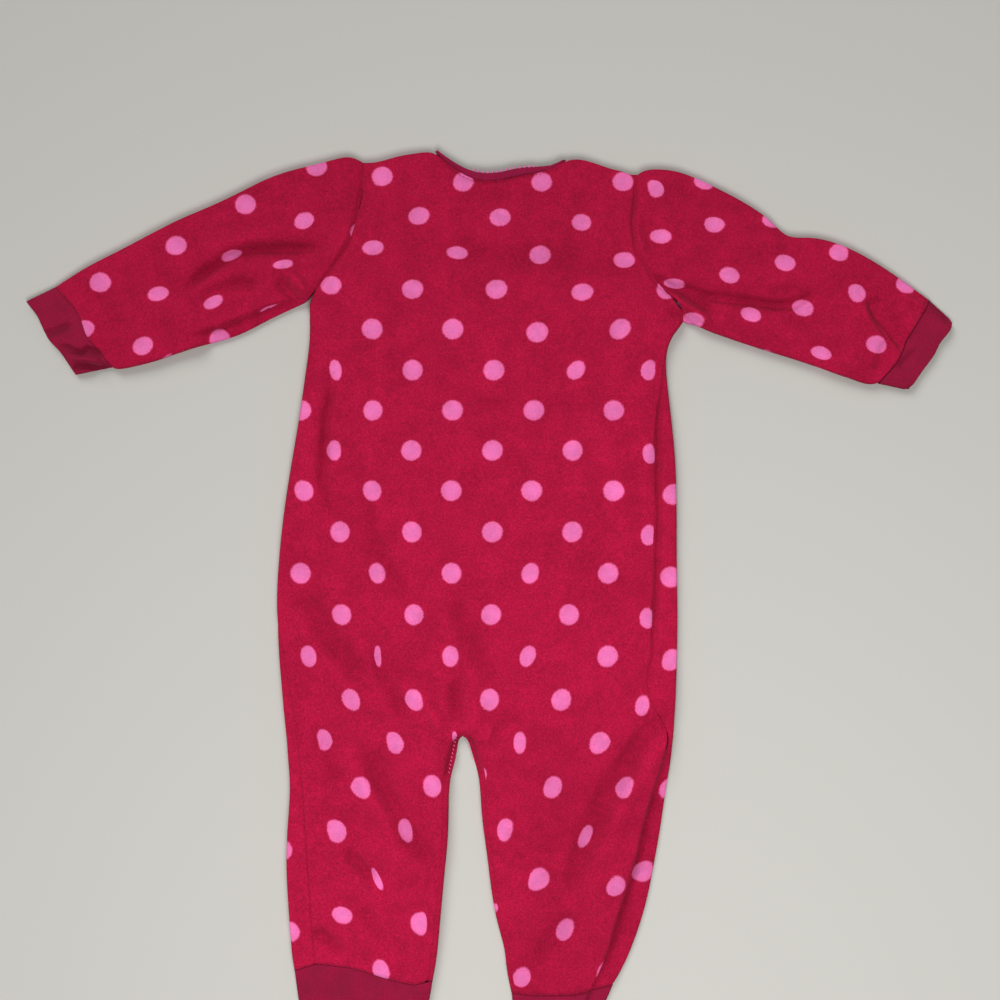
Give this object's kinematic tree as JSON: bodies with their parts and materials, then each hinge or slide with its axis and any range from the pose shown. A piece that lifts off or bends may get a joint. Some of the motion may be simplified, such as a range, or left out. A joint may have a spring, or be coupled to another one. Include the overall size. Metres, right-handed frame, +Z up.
{
  "type": "onesie pajama",
  "caption": "Toddler's footless fleece one-piece pajama with long sleeves, rib cuffs and neckband, laid flat with its back up.",
  "frame": {"origin": "under the middle of the laid garment, on the surface it lies on", "axes": "+X to the right across the sleeves as it lies with its back up, +Y towards the neck, +Z up from the surface"},
  "size_m": [0.7426, 0.7064, 0.009],
  "materials": {
    "fleece": "brushed fleece with pink dots",
    "rib": "fine rib knit",
    "zip_tape": "woven tape",
    "slider": "moulded"
  },
  "bodies": {
    "root": {"back": "fleece", "front_left": "fleece", "front_right": "fleece", "sleeve_left": "fleece", "sleeve_right": "fleece", "cuff_wrist_left": "rib", "cuff_wrist_right": "rib", "cuff_ankle_left": "rib", "cuff_ankle_right": "rib", "neckband": "rib", "zip_tape": "zip_tape", "zip_slider": "slider"}
  },
  "joints": []
}
